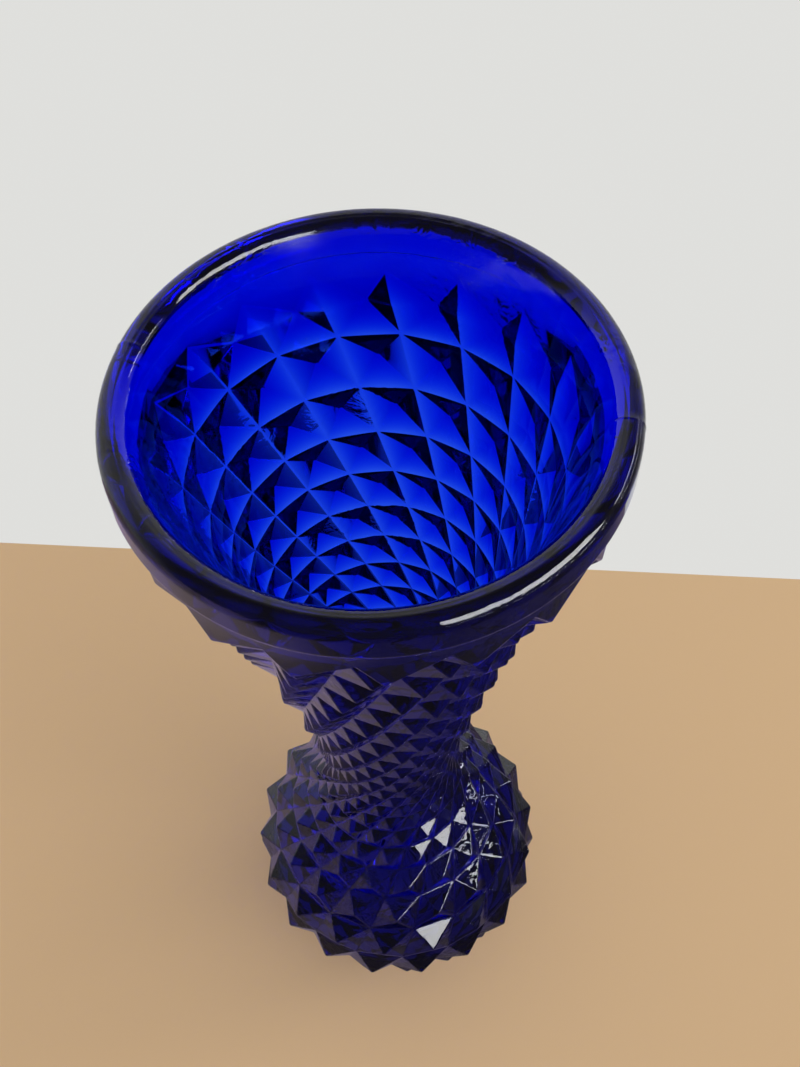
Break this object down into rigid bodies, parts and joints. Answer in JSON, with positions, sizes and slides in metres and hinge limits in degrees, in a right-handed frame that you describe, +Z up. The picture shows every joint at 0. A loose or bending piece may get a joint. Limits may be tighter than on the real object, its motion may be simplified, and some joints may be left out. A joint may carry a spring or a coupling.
{
  "type": "forcing vase",
  "caption": "Tall blue glass forcing vase with a flared cup, narrow waist, round bulb and short foot, covered outside with swirled pyramid points.",
  "frame": {"origin": "centre of the standing ring, on the surface that the vase stands on", "axes": "+Z is up along the vase's axis, from the foot to the rim; +Y points away from the viewer of the picture and +X to the viewer's right"},
  "size_m": [0.084, 0.084, 0.2059],
  "materials": {
    "cobalt_glass": "clear cobalt blue, near black where it is thick"
  },
  "bodies": {
    "root": {"rim": "cobalt_glass", "cup": "cobalt_glass", "neck": "cobalt_glass", "shoulder": "cobalt_glass", "bulb": "cobalt_glass", "bulb_base": "cobalt_glass", "foot": "cobalt_glass"}
  },
  "joints": []
}
